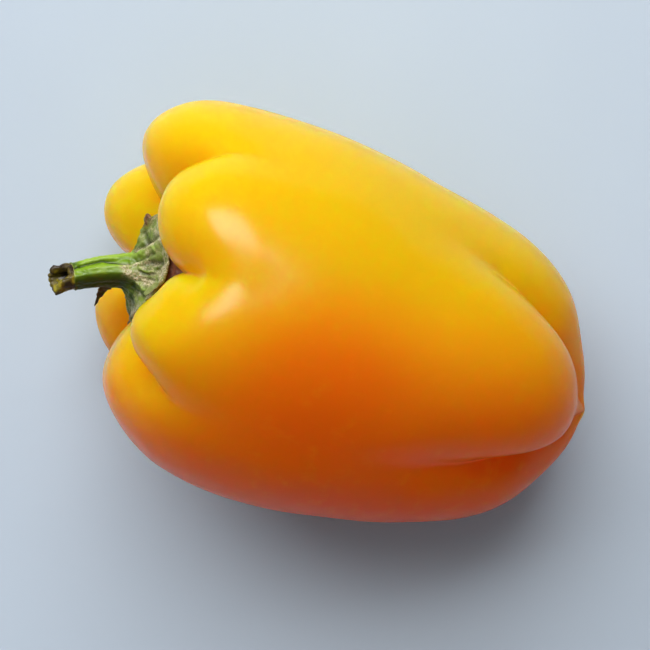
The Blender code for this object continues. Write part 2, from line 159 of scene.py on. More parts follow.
# Painted shade along the creases and grooves of the stem and calyx, and one darker patch near the cut end.
PAINTED_SHADE_AND_DARK_PATCH = [
    ([(-20.6, -0.3), (-19.1, 0.45), (-16.4, 1.25), (-14.0, 1.6), (-11.7, 1.45), (-9.7, 1.05), (-8.1, 1.0)], 0.24, 0.85),
    ([(-6.5, 1.5), (-5.0, 2.0), (-3.6, 2.6), (-2.8, 3.15)], 0.28, 0.55),
    ([(-21.6, 0.6), (-20.4, 0.9)], 0.75, 0.75),
    ([(-3.6, 1.2), (-2.3, 0.9), (-1.1, 1.0)], 0.45, 0.85),
    ([(-5.9, -1.05), (-3.8, -1.35), (-2.8, -1.6)], 0.25, 0.70),
    ([(-6.8, 3.9), (-4.6, 5.15), (-3.0, 6.1), (-2.0, 7.4)], 0.34, 0.65),
    ([(-4.4, 8.1), (-3.9, 6.8), (-4.1, 5.6)], 0.50, 0.75),
    ([(-7.2, -4.4), (-5.9, -5.5), (-5.0, -5.9), (-3.4, -5.4)], 0.55, 0.80),
    ([(-7.6, -6.2), (-7.0, -9.0), (-7.0, -11.5)], 0.85, 0.85),
    ([(-9.2, -5.8), (-8.7, -8.0), (-8.0, -10.4)], 0.45, 0.65),
]
# Painted highlights: paler colour along the tops of the stem's and calyx's ridges.
PAINTED_HIGHLIGHT_STROKES = [
    ([(-18.4, 1.35), (-14.4, 2.35), (-10.6, 2.7), (-7.6, 3.3)], 0.40, 0.55),
    ([(-6.5, 3.0), (-3.6, 3.9), (-1.8, 4.9)], 0.70, 0.55),
    ([(-15.0, 0.1), (-11.2, 0.2), (-9.6, 0.2)], 0.40, 0.35),
    ([(-5.6, -0.4), (-3.8, -0.6), (-2.2, -0.8)], 0.28, 0.60),
    ([(-6.3, -3.4), (-5.2, -4.3), (-4.5, -5.0)], 0.28, 0.60),
]


# ---------------------------------------------------------------------------
# Shape functions
# ---------------------------------------------------------------------------
def natural(knots, values, at):
    """Natural cubic spline through (knots, values); values may have columns."""
    k, v = np.asarray(knots, float), np.asarray(values, float)
    flat = v.ndim == 1
    v = v.reshape(len(k), -1)
    n, h = len(k), np.diff(k)
    a, b = np.eye(n), np.zeros_like(v)
    for i in range(1, n - 1):
        a[i, i - 1:i + 2] = h[i - 1], 2 * (h[i - 1] + h[i]), h[i]
        b[i] = 6 * ((v[i + 1] - v[i]) / h[i] - (v[i] - v[i - 1]) / h[i - 1])
    m = np.linalg.solve(a, b)
    at = np.asarray(at, float)
    i = np.clip(np.searchsorted(k, at) - 1, 0, n - 2)
    d = (at - k[i])[:, None]
    s, hi = h[i][:, None], (k[i + 1] - at)[:, None]
    out = (m[i] * hi ** 3 + m[i + 1] * d ** 3) / (6 * s) \
        + (v[i] / s - m[i] * s / 6) * hi + (v[i + 1] / s - m[i + 1] * s / 6) * d
    return out[:, 0] if flat else out


def monotone(knots, values, at):
    """Cubic curve through (knots, values) that never overshoots them."""
    k, v, at = (np.asarray(q, float) for q in (knots, values, at))
    h = np.diff(k)
    slope = np.diff(v) / h
    m = np.zeros_like(v)
    for i in range(1, len(k) - 1):
        if slope[i - 1] * slope[i] > 0:
            w1, w2 = 2 * h[i] + h[i - 1], h[i] + 2 * h[i - 1]
            m[i] = (w1 + w2) / (w1 / slope[i - 1] + w2 / slope[i])
    m[0], m[-1] = slope[0], slope[-1]
    at = np.clip(at, k[0], k[-1])
    i = np.clip(np.searchsorted(k, at) - 1, 0, len(k) - 2)
    t = (at - k[i]) / h[i]
    return ((2 * t ** 3 - 3 * t ** 2 + 1) * v[i] + (t ** 3 - 2 * t ** 2 + t) * h[i] * m[i]
            + (3 * t ** 2 - 2 * t ** 3) * v[i + 1] + (t ** 3 - t ** 2) * h[i] * m[i + 1])


def turn(angle):
    """An angle brought between -pi and pi."""
    return (angle + np.pi) % (2 * np.pi) - np.pi


def blob(angle, middle_deg, width_deg):
    """1 at one azimuth, falling to 0 over its width."""
    return np.exp(-(turn(angle - math.radians(middle_deg)) / math.radians(width_deg)) ** 2)


def around(table, phi, soft_deg=0.0):
    """Values given at azimuths (degrees) all the way round, read at phi."""
    t = np.array(table, float)
    az = np.concatenate([t[:, 0] - 360, t[:, 0], t[:, 0] + 360])
    steps = np.linspace(-2, 2, 17) if soft_deg else np.zeros(1)
    w = np.exp(-steps ** 2)
    out = []
    for c in range(1, t.shape[1]):
        v = np.tile(t[:, c], 3)
        at = np.degrees(turn(phi))[:, None] + steps[None] * soft_deg
        out.append((np.interp(at, az, v) * w).sum(1) / w.sum())
    return out[0] if len(out) == 1 else out


def waves(p, size, seed, count=16):
    """A smooth value, mostly within -1..1, with bumps about size mm across."""
    rng = np.random.default_rng(seed)
    d = rng.normal(size=(count, 3))
    d *= 2 * np.pi / size * rng.uniform(0.7, 1.35, (count, 1)) / np.linalg.norm(d, axis=1, keepdims=True)
    return np.sin(p @ d.T + rng.uniform(0, 2 * np.pi, count)).sum(-1) / math.sqrt(count)


def fruit_skin(rings, azimuths):
    """The skin at each ring (rows) and azimuth (columns): x, y, z in mm."""
    k = np.arange(RINGS)
    sides = np.radians([0, 90, 180, 270])[:, None]
    share = 0.5 + 0.5 * np.cos(np.pi * np.clip(np.abs(turn(azimuths[None] - sides)) / (np.pi / 2), 0, 1))
    radius = natural(k, np.array([R_LEFT, R_TOP, R_RIGHT, R_UNDER]).T @ share, rings)
    x = natural(k, np.array(RING_X)[:, None] + np.array([X_LEFT, X_TOP, X_RIGHT, X_UNDER]).T @ share, rings)
    sink_x, sink_r = (natural(k, q, rings)[:, None] for q in (SINK_X, SINK_R))
    lobe = monotone(k, LOBE, rings)[:, None]
    push_x, push_r = np.zeros_like(x), np.zeros_like(x)
    at = np.clip(rings, AZ_RINGS[0], AZ_RINGS[-1])
    for f in FURROWS.values():
        az, reach, soft = (np.radians(monotone(AZ_RINGS, f[q], at))[:, None] for q in ("az", "reach", "soft"))
        depth = monotone([0] + DEPTH_RINGS + [RINGS - 1], [0] + f["depth"] + [0], rings)[:, None]
        off = np.abs(turn(azimuths[None] - az))
        off = np.sqrt(off * off + soft * soft) - soft
        u = np.clip(1 - off / reach, 0, 1)
        sunk = depth * (1 - (1 - u * u) ** (1 / lobe))
        push_x += sunk * sink_x
        push_r += sunk * sink_r
    for swells, weight in ((SHOULDER_SWELLS, SHOULDER_WEIGHT), (TOE_SWELLS, TOE_WEIGHT), (FOOT_SWELLS, FOOT_WEIGHT)):
        w = monotone(k, weight, rings)[:, None]
        for az, width, along, out in swells:
            s = w * np.exp(-(turn(azimuths[None] - math.radians(az)) / math.radians(width)) ** 2)
            push_x += s * along
            push_r += s * out
    radius = np.maximum(radius + push_r, 0)
    return np.stack([x + push_x, radius * np.cos(azimuths), radius * np.sin(azimuths)], -1)


def even_rings(count):
    """Ring positions spaced evenly along the skin, pole to pole."""
    fine = np.linspace(0, RINGS - 1, 701)
    skin = fruit_skin(fine, np.radians(np.arange(0, 360, 30)))
    step = np.linalg.norm(np.diff(skin, axis=0), axis=2).mean(1)
    length = np.concatenate([[0], np.cumsum(step)])
    return np.interp(np.linspace(0, length[-1], count + 1), length, fine)


P = math.radians(PITCH_DEG)
LAY = np.array([[math.cos(P), 0, math.sin(P)], [0, 1, 0], [-math.sin(P), 0, math.cos(P)]])


def press_feet(p):
    """The points of the skin, with the feet pressed flat, and the surface's height."""
    height = p @ LAY[2]
    ground = height.min() + FOOT_FLAT
    return p + np.clip(ground - height, 0, None)[..., None] * LAY[2], ground


COARSE, GROUND = press_feet(fruit_skin(even_rings(40), np.arange(72) * 2 * np.pi / 72))
CAD_LOW = np.array(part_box("fruit_body")[0]) / MM
COARSE = COARSE.reshape(-1, 3) @ LAY.T
SHIFT = np.array([CAD_LOW[0] - COARSE[:, 0].min(), CAD_LOW[1] - COARSE[:, 1].min(), -GROUND])


def to_row(p):
    """From the fruit's frame in mm to the row frame in metres."""
    return (np.asarray(p, float) @ LAY.T + SHIFT) * MM


def from_above(p):
    """Where points show in the picture: mm right of and up from the calyx."""
    q = p @ LAY.T
    a = math.radians(18.7)
    i = q[..., 0] * math.cos(a) + q[..., 1] * math.sin(a)
    j = -q[..., 0] * math.sin(a) + q[..., 1] * math.cos(a)
    s = 460 / (500 - (q[..., 2] - GROUND))
    return (i - 36.0) * s + 36.0, (j + 12.8) * s - 12.8


def strokes(table, right, up):
    """The sum of the marks in a table at points seen from above."""
    total = np.zeros(right.shape)
    for line, width, amount in table:
        far = np.full(right.shape, 1e9)
        for (x0, y0), (x1, y1) in zip(line[:-1], line[1:]):
            dx, dy = x1 - x0, y1 - y0
            t = np.clip(((right - x0) * dx + (up - y0) * dy) / (dx * dx + dy * dy), 0, 1)
            far = np.minimum(far, (right - x0 - t * dx) ** 2 + (up - y0 - t * dy) ** 2)
        total += amount * np.exp(-far / width ** 2)
    return total


def grid_normals(g):
    """Normals of a grid whose columns go all the way round."""
    du = np.gradient(g, axis=0)
    dv = np.roll(g, -1, 1) - np.roll(g, 1, 1)
    n = np.cross(dv, du)
    return n / np.maximum(np.linalg.norm(n, axis=-1, keepdims=True), 1e-9)


# ---------------------------------------------------------------------------
# Mesh helpers
# ---------------------------------------------------------------------------
def closed_grid(name, grid, material, masks=None, flip=False):
    """A closed skin over grid[row, column]; the first and last rows are poles."""
    rows, cols = grid.shape[:2]
    inner = grid[1:-1].reshape(-1, 3)
    verts = np.concatenate([grid[0, :1], inner, grid[-1, :1]])
    r = np.arange(rows - 3)[:, None] * cols + 1
    c = np.arange(cols)[None]
    d = (c + 1) % cols
    quads = np.stack([r + c, r + d, r + cols + d, r + cols + c], -1).reshape(-1, 4)
    last = 1 + (rows - 3) * cols
    top = np.stack([np.zeros(cols, int), 1 + d[0], 1 + c[0]], -1)
    end = np.stack([np.full(cols, len(verts) - 1), last + c[0], last + d[0]], -1)
    faces = [list(map(int, f)) for f in np.concatenate([quads])] \
        + [list(map(int, f)) for f in np.concatenate([top, end])]
    if flip:
        faces = [f[::-1] for f in faces]
    mesh = bpy.data.meshes.new(name)
    mesh.from_pydata([tuple(v) for v in to_row(verts)], [], faces)
    mesh.update()
    for key, value in (masks or {}).items():
        layer = mesh.attributes.new(key, "FLOAT", "POINT")
        flat = np.concatenate([value[0, :1], value[1:-1].reshape(-1), value[-1, :1]])
        layer.data.foreach_set("value", flat.astype(np.float32))
    mesh.shade_smooth()
    mesh.materials.append(material)
    obj = bpy.data.objects.new(name, mesh)
    bpy.context.scene.collection.objects.link(obj)
    return obj


def blade(name, spine, widths, lean, thick, cup, material, seed=1, rough=0.12, rows=70, cols=36):
    """A thin closed leaf: spine points, half widths, the direction it faces,
    its half thickness and how much it is cupped."""
    n = len(spine)
    s = np.linspace(0, n - 1, rows)
    line = natural(np.arange(n), np.array(spine, float), s)
    width = np.maximum(monotone(np.arange(n), widths, s), 0.02)
    ahead = np.gradient(line, axis=0)
    ahead /= np.linalg.norm(ahead, axis=1, keepdims=True)
    face = natural(np.arange(n), np.array(lean, float), s)
    side = np.cross(ahead, face)
    side /= np.linalg.norm(side, axis=1, keepdims=True)
    face = np.cross(side, ahead)
    th = np.arange(cols) * 2 * np.pi / cols
    edge = 1 + rough * waves(np.stack([s[:, None] * 3 + 0 * th, np.sign(np.cos(th))[None] * 9 + 0 * s[:, None],
                                       0 * s[:, None] + 0 * th], -1), 1.6, seed)
    u = np.cos(th)[None] * width[:, None] * edge
    v = np.sin(th)[None] * np.minimum(thick, width[:, None] * 0.6) \
        + cup * (u ** 2) / np.maximum(width[:, None], 0.5) - 0.0
    g = line[:, None] + u[..., None] * side[:, None] + v[..., None] * face[:, None]
    g = g + 0.10 * waves(g, 2.2, seed + 5)[..., None] * face[:, None]
    g[0] = g[0].mean(0)
    g[-1] = g[-1].mean(0)
    rim = np.abs(np.cos(th))[None] ** 3 + 0 * s[:, None]
    along = (s / (n - 1))[:, None] + 0 * th
    return closed_grid(name, g, material, {"edge": rim, "along": along}, flip=True)


# ---------------------------------------------------------------------------
# Materials
# ---------------------------------------------------------------------------
class Nodes:
    """A material's node tree, with short calls."""

    def __init__(self, name):
        self.mat = bpy.data.materials.new(name)
        self.mat.use_nodes = True
        self.tree = self.mat.node_tree
        self.shader = self.tree.nodes["Principled BSDF"]
        self.place = self.new("ShaderNodeTexCoord").outputs["Object"]

    def new(self, kind, **values):
        n = self.tree.nodes.new(kind)
        for k, v in values.items():
            setattr(n, k, v)
        return n

    def link(self, a, b):
        self.tree.links.new(a, b)

    def noise(self, scale, detail=3.0, rough=0.55, seed=0.0, stretch=None):
        n = self.new("ShaderNodeTexNoise", noise_dimensions="4D")
        n.inputs["Scale"].default_value = scale
        n.inputs["Detail"].default_value = detail
        n.inputs["Roughness"].default_value = rough
        n.inputs["W"].default_value = seed
        if stretch:
            m = self.new("ShaderNodeMapping")
            m.inputs["Scale"].default_value = stretch
            self.link(self.place, m.inputs["Vector"])
            self.link(m.outputs[0], n.inputs["Vector"])
        else:
            self.link(self.place, n.inputs["Vector"])
        return n.outputs["Fac"]

    def ramp(self, fac, stops, smooth=True):
        n = self.new("ShaderNodeValToRGB")
        n.color_ramp.interpolation = "EASE" if smooth else "LINEAR"
        e = n.color_ramp.elements
        while len(e) < len(stops):
            e.new(0.5)
        for item, (at, colour) in zip(e, stops):
            item.position = at
            item.color = (*colour, 1.0) if isinstance(colour, tuple) else (colour,) * 3 + (1.0,)
        self.link(fac, n.inputs["Fac"])
        return n.outputs["Color"]

    def mix(self, fac, a, b, kind="MIX"):
        n = self.new("ShaderNodeMix", data_type="RGBA", blend_type=kind)
        for value, at in ((fac, 0), (a, 6), (b, 7)):
            if isinstance(value, (int, float)):
                n.inputs[at].default_value = value
            elif isinstance(value, tuple):
                n.inputs[at].default_value = (*value, 1.0)
            else:
                self.link(value, n.inputs[at])
        return n.outputs[2]

    def math(self, kind, a, b=None):
        n = self.new("ShaderNodeMath", operation=kind)
        for i, value in enumerate((a, b)):
            if value is None:
                continue
            if isinstance(value, (int, float)):
                n.inputs[i].default_value = value
            else:
                self.link(value, n.inputs[i])
        n.use_clamp = kind in ("MULTIPLY", "ADD")
        return n.outputs[0]

    def attribute(self, name):
        return self.new("ShaderNodeAttribute", attribute_name=name).outputs["Fac"]

    def bump(self, height, strength, distance, onto=None):
        n = self.new("ShaderNodeBump")
        n.inputs["Strength"].default_value = strength
        n.inputs["Distance"].default_value = distance
        self.link(height, n.inputs["Height"])
        if onto is not None:
            self.link(onto, n.inputs["Normal"])
        return n.outputs["Normal"]

    def finish(self, colour, roughness, normal=None, **sockets):
        self.link(colour, self.shader.inputs["Base Color"])
        if isinstance(roughness, (int, float)):
            self.shader.inputs["Roughness"].default_value = roughness
        else:
            self.link(roughness, self.shader.inputs["Roughness"])
        if normal is not None:
            self.link(normal, self.shader.inputs["Normal"])
        for key, value in sockets.items():
            self.shader.inputs[key.replace("_", " ")].default_value = value
        return self.mat


# Painted light and shade in the skin's colour: yellow on the side of the first
# shoulder lobe, which faces the window light, turning deep orange towards the
# shaded flank. Place across the fruit (mm), then the colour.
LIGHT_TO_SHADE_COLOURS = [(-36, (0.910, 0.098, 0.002)), (-22, (0.905, 0.148, 0.002)), (-9, (0.875, 0.206, 0.003)),
            (5, (0.800, 0.322, 0.003)), (20, (0.695, 0.425, 0.003)), (38, (0.680, 0.450, 0.004))]
# the direction towards the window light, along which the painted light grows
TOWARDS_PAINTED_LIGHT = (-0.32, 0.94, 0.12)
# Patches of painted shade (-, more orange) and painted light (+, more yellow) laid
# over the colour that their place across the fruit gives: the middle (m), how far the patch reaches (m) and by how
# much.
PAINTED_LIGHT_AND_SHADE_PATCHES = [((0.001, -0.007, 0.076), 0.030, -0.14), ((-0.034, -0.018, 0.070), 0.034, 0.11)]


def pepper_skin():
    """Waxy, translucent yellow skin, with painted shade turning it orange towards the flank away from the light."""
    n = Nodes("pepper_skin")
    # how far each point lies towards the window light, for the painted light and shade
    across = n.new("ShaderNodeVectorMath", operation="DOT_PRODUCT")
    n.link(n.place, across.inputs[0])
    across.inputs[1].default_value = [c / 0.1 for c in TOWARDS_PAINTED_LIGHT]
    place = n.math("ADD", across.outputs["Value"], 0.47)
    # patches of painted light and painted shade
    for middle, reach, much in PAINTED_LIGHT_AND_SHADE_PATCHES:
        away = n.new("ShaderNodeVectorMath", operation="DISTANCE")
        n.link(n.place, away.inputs[0])
        away.inputs[1].default_value = middle
        share = n.ramp(n.math("DIVIDE", away.outputs["Value"], reach), [(0.0, 1.0), (1.0, 0.0)])
        place = n.math("ADD" if much > 0 else "SUBTRACT", place, n.math("MULTIPLY", share, abs(much)))
    place = n.math("ADD", place, n.math("MULTIPLY", n.noise(22, 2.0, 0.5, 3.1), 0.10))
    # painted light and shade: yellow towards the window light, deep orange on the shaded flank
    painted_light_and_shade = n.ramp(place, [((at + 50) / 100, colour) for at, colour in LIGHT_TO_SHADE_COLOURS], smooth=False)
    mottle = n.noise(230, 4.0, 0.6, 7.7)
    colour = n.mix(n.ramp(mottle, [(0.50, 0.0), (0.80, 0.12)]), painted_light_and_shade, (0.945, 0.50, 0.012))
    colour = n.mix(n.attribute("scar"), colour, (0.300, 0.130, 0.020))
    fine = n.bump(n.noise(900, 2.0, 0.5, 1.3), 0.03, 0.0003)
    dents = n.bump(n.noise(70, 1.0, 0.4, 5.2), 0.04, 0.0012, fine)
    return n.finish(colour, 0.24, dents, Subsurface_Weight=1.0, Subsurface_Radius=(0.060, 0.006, 0.001),
                    Subsurface_Scale=1.0, Specular_IOR_Level=0.20, IOR=1.33)


def stem_and_calyx():
    """Fresh green stem, olive calyx with tan corky patches, dried brown ends, painted highlights on the ridges, and
    painted shade in the creases, under the stem and down the cut end's bore.
    """
    n = Nodes("stem_calyx_green")
    flare, tip, cork, dry, dark, pale, hole_shade, collar = (
        n.attribute(q) for q in ("flare", "tip", "cork", "dry", "dark", "pale", "hole_shade", "collar"))
    streak = n.noise(380, 3.0, 0.6, 2.2)
    stem = n.ramp(streak, [(0.30, (0.130, 0.245, 0.004)), (0.70, (0.225, 0.360, 0.008))])
    leaf = n.ramp(streak, [(0.30, (0.080, 0.130, 0.010)), (0.72, (0.180, 0.250, 0.030))])
    colour = n.mix(flare, stem, leaf)
    # painted highlight along the ridge tops
    colour = n.mix(pale, colour, (0.340, 0.500, 0.075))
    # painted shade in the creases and on the stem's underside
    colour = n.mix(dark, colour, (0.016, 0.032, 0.004))
    grain = n.noise(2300, 3.0, 0.7, 4.4)
    spread = n.noise(650, 3.0, 0.6, 9.1)
    patch = n.math("MULTIPLY", cork, n.ramp(spread, [(0.36, 0.25), (0.54, 1.0)]))
    patch = n.math("MULTIPLY", patch, n.ramp(grain, [(0.36, 0.35), (0.56, 1.0)]))
    tan = n.ramp(grain, [(0.34, (0.330, 0.260, 0.130)), (0.62, (0.620, 0.540, 0.360))])
    colour = n.mix(patch, colour, tan)
    brown = n.ramp(grain, [(0.30, (0.080, 0.028, 0.012)), (0.70, (0.240, 0.110, 0.052))])
    colour = n.mix(n.math("MULTIPLY", dry, n.ramp(spread, [(0.30, 0.35), (0.55, 1.0)])), colour, brown)
    dead = n.ramp(n.noise(330, 2.0, 0.5, 6.3),
                  [(0.38, (0.028, 0.015, 0.006)), (0.50, (0.110, 0.078, 0.010)), (0.60, (0.300, 0.245, 0.018))])
    colour = n.mix(tip, colour, dead)
    colour = n.mix(collar, colour, (0.400, 0.350, 0.150))
    # painted shade: near black down inside the cut end's bore
    colour = n.mix(hole_shade, colour, (0.006, 0.004, 0.002))
    rough = n.bump(grain, 0.14, 0.0003)
    rough = n.bump(spread, 0.16, 0.0004, rough)
    return n.finish(colour, n.ramp(spread, [(0.3, 0.34), (0.7, 0.50)]), rough,
                    Subsurface_Weight=0.12, Subsurface_Radius=(0.0012, 0.0016, 0.0004), Subsurface_Scale=1.0,
                    Specular_IOR_Level=0.18)


def dried_leaf(name, dark, light, rim_colour, rim_share=0.9):
    """A dried or drying sepal, paler along its edge."""
    n = Nodes(name)
    edge, along = n.attribute("edge"), n.attribute("along")
    body = n.ramp(n.noise(700, 4.0, 0.65, 3.3), [(0.32, dark), (0.68, light)])
    share = n.math("MULTIPLY", n.ramp(edge, [(0.45, 0.0), (0.95, rim_share)]), n.ramp(n.noise(500, 2.0, 0.5, 8.8), [(0.35, 0.4), (0.6, 1.0)]))
    colour = n.mix(share, body, rim_colour)
    return n.finish(colour, 0.6, n.bump(n.noise(900, 3.0, 0.6, 1.1), 0.5, 0.0005))


def floor_material():
    """Plain pale paint, very slightly uneven."""
    n = Nodes("floor_paint")
    colour = n.ramp(n.noise(9, 3.0, 0.5, 0.7), [(0.30, (0.421, 0.504, 0.604)), (0.70, (0.446, 0.532, 0.633))])
    return n.finish(colour, 0.75)


# ---------------------------------------------------------------------------
# Pieces
# ---------------------------------------------------------------------------
def build_fruit():
    cols, rows = 336, 264
    rings = even_rings(rows)
    az = np.arange(cols) * 2 * np.pi / cols
    g = fruit_skin(rings, az)
    keep = np.clip(np.minimum(rings, RINGS - 1 - rings), 0, 1)[:, None]
    wave = 0.09 * waves(g, 19.0, 11) + 0.015 * waves(g, 7.5, 12)
    g = g + (wave * keep)[..., None] * grid_normals(g)
    # the small scar where the blossom was
    from_pole = np.hypot(g[..., 1] + 0.3, g[..., 2]) + 50 * (rings[:, None] < 10)
    g[..., 0] += 0.75 * np.exp(-(from_pole / 2.5) ** 2)
    scar = 0.6 * np.exp(-(from_pole / 1.2) ** 2)
    g, _ = press_feet_at(g)
    return closed_grid("pepper_skin", g, pepper_skin(), {"scar": scar})


def press_feet_at(g):
    """Nothing of the skin goes below the surface it lies on."""
    height = g @ LAY[2]
    return g + np.clip(GROUND - height, 0, None)[..., None] * LAY[2], GROUND


def build_stem():
    cols = 240
    phi = np.arange(cols) * 2 * np.pi / cols
    track = np.array([STEM_X, STEM_Y, STEM_Z, STEM_R]).T
    k = np.arange(len(STEM_X))
    last = float(k[-1])
    section = around(SECTION, phi, 4.0)

    # the middle line with its own directions, finely spaced
    fine = np.linspace(0, last, 401)
    line = natural(k, track, fine)
    ahead = np.gradient(line[:, :3], axis=0)
    ahead /= np.linalg.norm(ahead, axis=1, keepdims=True)
    w = np.clip(fine / 1.2, 0, 1)[:, None]
    w = w * w * (3 - 2 * w)
    ahead = (1 - w) * np.array([-1.0, 0.0, 0.0]) + w * ahead
    ahead /= np.linalg.norm(ahead, axis=1, keepdims=True)
    side = np.cross([0.0, 0.0, 1.0], ahead)
    side /= np.linalg.norm(side, axis=1, keepdims=True)
    lift_dir = np.cross(ahead, side)

    def ring(s, share, lift=0.0):
        s = s + 0 * phi

        def at(table):
            return np.stack([np.interp(s, fine, table[:, c]) for c in range(3)], -1)
        r = (np.interp(s, fine, line[:, 3]) * share)[:, None]
        return at(line) + at(ahead) * (lift + 0 * phi)[:, None] \
            - at(side) * r * np.cos(phi)[:, None] + at(lift_dir) * r * np.sin(phi)[:, None]

    def step(x, lo, hi):
        t = np.clip((x - lo) / (hi - lo), 0, 1)
        return t * t * (3 - 2 * t)

    # the torn cut end: how far it reaches round the stem, and its lips
    az = np.degrees(phi)
    torn = step(az, 14, 40) * (1 - step(az, 86, 100))
    reach = -2.1 + 0.9 * blob(phi, 275, 60) + 0.7 * blob(phi, 180, 30) + 0.5 * blob(phi, 5, 20) - 3.0 * torn \
        + 0.12 * np.sin(5 * phi + 0.6) + 0.10 * np.sin(11 * phi + 2.0)
    collar_s, long = 2.44, 5.3
    share_end = 1 + 0.17 * blob(phi, 180, 40) - 0.10 * blob(phi, 10, 40) + 0.05 * blob(phi, 262, 40) \
        + 0.03 * np.sin(7 * phi)
    bore = 0.46 + 0.05 * np.sin(2 * phi + 0.5) + 0.04 * np.sin(5 * phi + 2.0) + 0.08 * torn - 0.12 * blob(phi, 0, 30)
    end_s = collar_s + (last - collar_s) * np.clip(1 + reach / long, 0.04, 1)

    rows, mark, inner = [], [], []     # mark: 0 at the cut end .. 1 at the neck .. 2 at the rim .. 3 inside

    def add(row, m, hole_shade=0.0):
        rows.append(row)
        mark.append(m)
        inner.append(hole_shade + 0 * phi)

    floor_s = 2.5
    # the third value given to add is the painted shade of the bore: full at its floor, fading up the walls and over the
    # lip to none on the stem
    for share in (0.0, 0.35, 0.75):
        add(ring(floor_s, bore * share), 0.0, 1.0)
    for t in (0.0, 0.12, 0.3, 0.5, 0.68, 0.84, 0.95):
        add(ring(floor_s + (end_s - 0.05 - floor_s) * t, bore * (0.92 + 0.12 * t)), 0.0, 1.0 - 0.75 * t)
    for t in np.linspace(0, 1, 11):                     # over the lip
        a = math.pi * t
        mid, half = (bore * 1.05 + share_end * 0.95) / 2, (share_end * 0.95 - bore * 1.05) / 2
        add(ring(end_s, mid - half * math.cos(a), 0.62 * math.sin(a)), 0.0, 0.12 * (1 - t))
    for s in np.linspace(last, 0, 100):
        beyond = np.clip((s - collar_s) / (last - collar_s), 0, 1)
        dried = step(s, 2.36, 2.60)
        swelling = 1 + (share_end - 1) * beyond ** 0.7 + 0.055 * np.sin(math.pi * beyond * 2.3 + 0.6) * beyond
        share = section * (1 - dried) + (0.35 * section + 0.65) * swelling * dried
        share = share + 0.055 * math.exp(-((s - 2.42) / 0.07) ** 2) - 0.05 * math.exp(-((s - 2.58) / 0.09) ** 2)
        add(ring(collar_s + (end_s - collar_s) * beyond if s > collar_s else s, share), 1 - s / last)

    # the flare: from the neck out to the rim
    neck = rows[-1]
    rim_r, rim_x = around(RIM, phi, 0.6)
    rim_r = rim_r + 0.16 * np.sin(23 * phi + 1) + 0.10 * np.sin(37 * phi)
    rim = np.stack([rim_x, RIM_MIDDLE[0] + rim_r * np.cos(phi), RIM_MIDDLE[1] + rim_r * np.sin(phi)], -1)
    out = np.stack([0 * phi, np.cos(phi), np.sin(phi)], -1)
    back = np.clip((-4.2 - rim_x) / 2.4, 0, 1)[:, None]            # how much the blade is bent back
    one = neck + around(FLARE_RUN, phi, 6.0)[:, None] * np.array([[1.0, 0, 0]])
    two = rim - (3.9 - 0.9 * back) * out + np.array([[-0.7, 0, 0]]) * (1 - back) + np.array([[0.5, 0, 0]]) * back
    flare_rows = 76
    for i in range(1, flare_rows + 1):
        t = i / flare_rows
        add((1 - t) ** 3 * neck + 3 * (1 - t) ** 2 * t * one + 3 * (1 - t) * t * t * two + t ** 3 * rim, 1 + t)
    # round the edge and back underneath
    thick = 0.75
    for t in (0.25, 0.5, 0.75, 1.0):
        a = math.pi * t
        add(rim + out * 0.28 * math.sin(a) + np.array([[1, 0, 0]]) * thick * (1 - math.cos(a)) / 2, 2.0)
    base = np.array([0.0, RIM_MIDDLE[0], RIM_MIDDLE[1]])
    edge = rim + np.array([[thick, 0, 0]])
    for t in (0.85, 0.65, 0.45, 0.25, 0.1):
        p = base + (edge - base) * t
        p[:, 0] = edge[:, 0] * t + (-1.2) * (1 - t)
        add(p, 3.0)
    add(np.tile([[-1.2, RIM_MIDDLE[0], RIM_MIDDLE[1]]], (cols, 1)), 3.0)
    g = np.array(rows)
    mark = np.array(mark)[:, None] + 0 * phi
    hole_shade = np.array(inner)
    ph = phi[None] + 0 * mark

    # ridges, folds and corky wrinkles, pushed along the normals
    n = grid_normals(g)
    right, up = from_above(g)
    loose = 0.3 + 0.7 * np.clip((mark - 0.9) / 0.3, 0, 1)
    right = right + loose * (0.17 * waves(g, 3.2, 61) + 0.03 * waves(g, 1.1, 63))
    up = up + loose * (0.17 * waves(g, 3.2, 62) + 0.03 * waves(g, 1.1, 64))
    facing = np.clip(0.15 + 1.6 * (n @ LAY[2]), 0, 1) * (mark <= 2.0) * (hole_shade < 0.05)
    drawn = strokes(FOLDS, right, up) * facing * np.clip((mark - 0.37) / 0.05, 0, 1)
    on_flare = np.clip((mark - 0.90) / 0.25, 0, 1) * (mark <= 2.0)
    on_stem = np.clip((mark - 0.36) / 0.1, 0, 1) * np.clip((1.15 - mark) / 0.25, 0, 1)
    folds = np.abs(np.sin(4.5 * ph + 0.8 * np.sin(2 * ph) + 0.7 * np.sin(3 * mark)))
    wrinkle = np.abs(waves(g * np.array([0.5, 1.0, 1.0]), 3.0, 21))
    push = 0.9 * drawn
    push += on_flare * ((1 - 0.75 * facing) * 0.3 * (folds - 0.6) + 0.12 * (0.55 - wrinkle) + 0.07 * waves(g, 1.2, 22))
    push += on_stem * (0.045 * waves(g * np.array([0.2, 1, 1]), 1.6, 23) + 0.03 * waves(g * np.array([0.5, 1, 1]), 0.9, 24))
    at_tip = np.clip((0.40 - mark) / 0.06, 0, 1) * (hole_shade < 0.5)
    push += at_tip * (0.24 * waves(g, 4.4, 25) + 0.05 * waves(g, 1.3, 26))
    push *= 1 - (mark > 2.5)
    push[0] = 0
    g = g + push[..., None] * n

    inside = np.clip((mark - 2.2) / 0.5, 0, 1)
    flare = np.clip((mark - 0.94) / 0.30, 0, 1)
    speckle = np.clip(0.5 + waves(g, 5.0, 31), 0, 1)
    cork = strokes(CORK, right, up) * facing \
        + 0.30 * np.clip((mark - 1.25) / 0.3, 0, 1) * speckle \
        + 0.45 * np.exp(-((mark - 1.97) / 0.07) ** 2)
    cork = np.clip(cork, 0, 1) * (mark < 2.4)
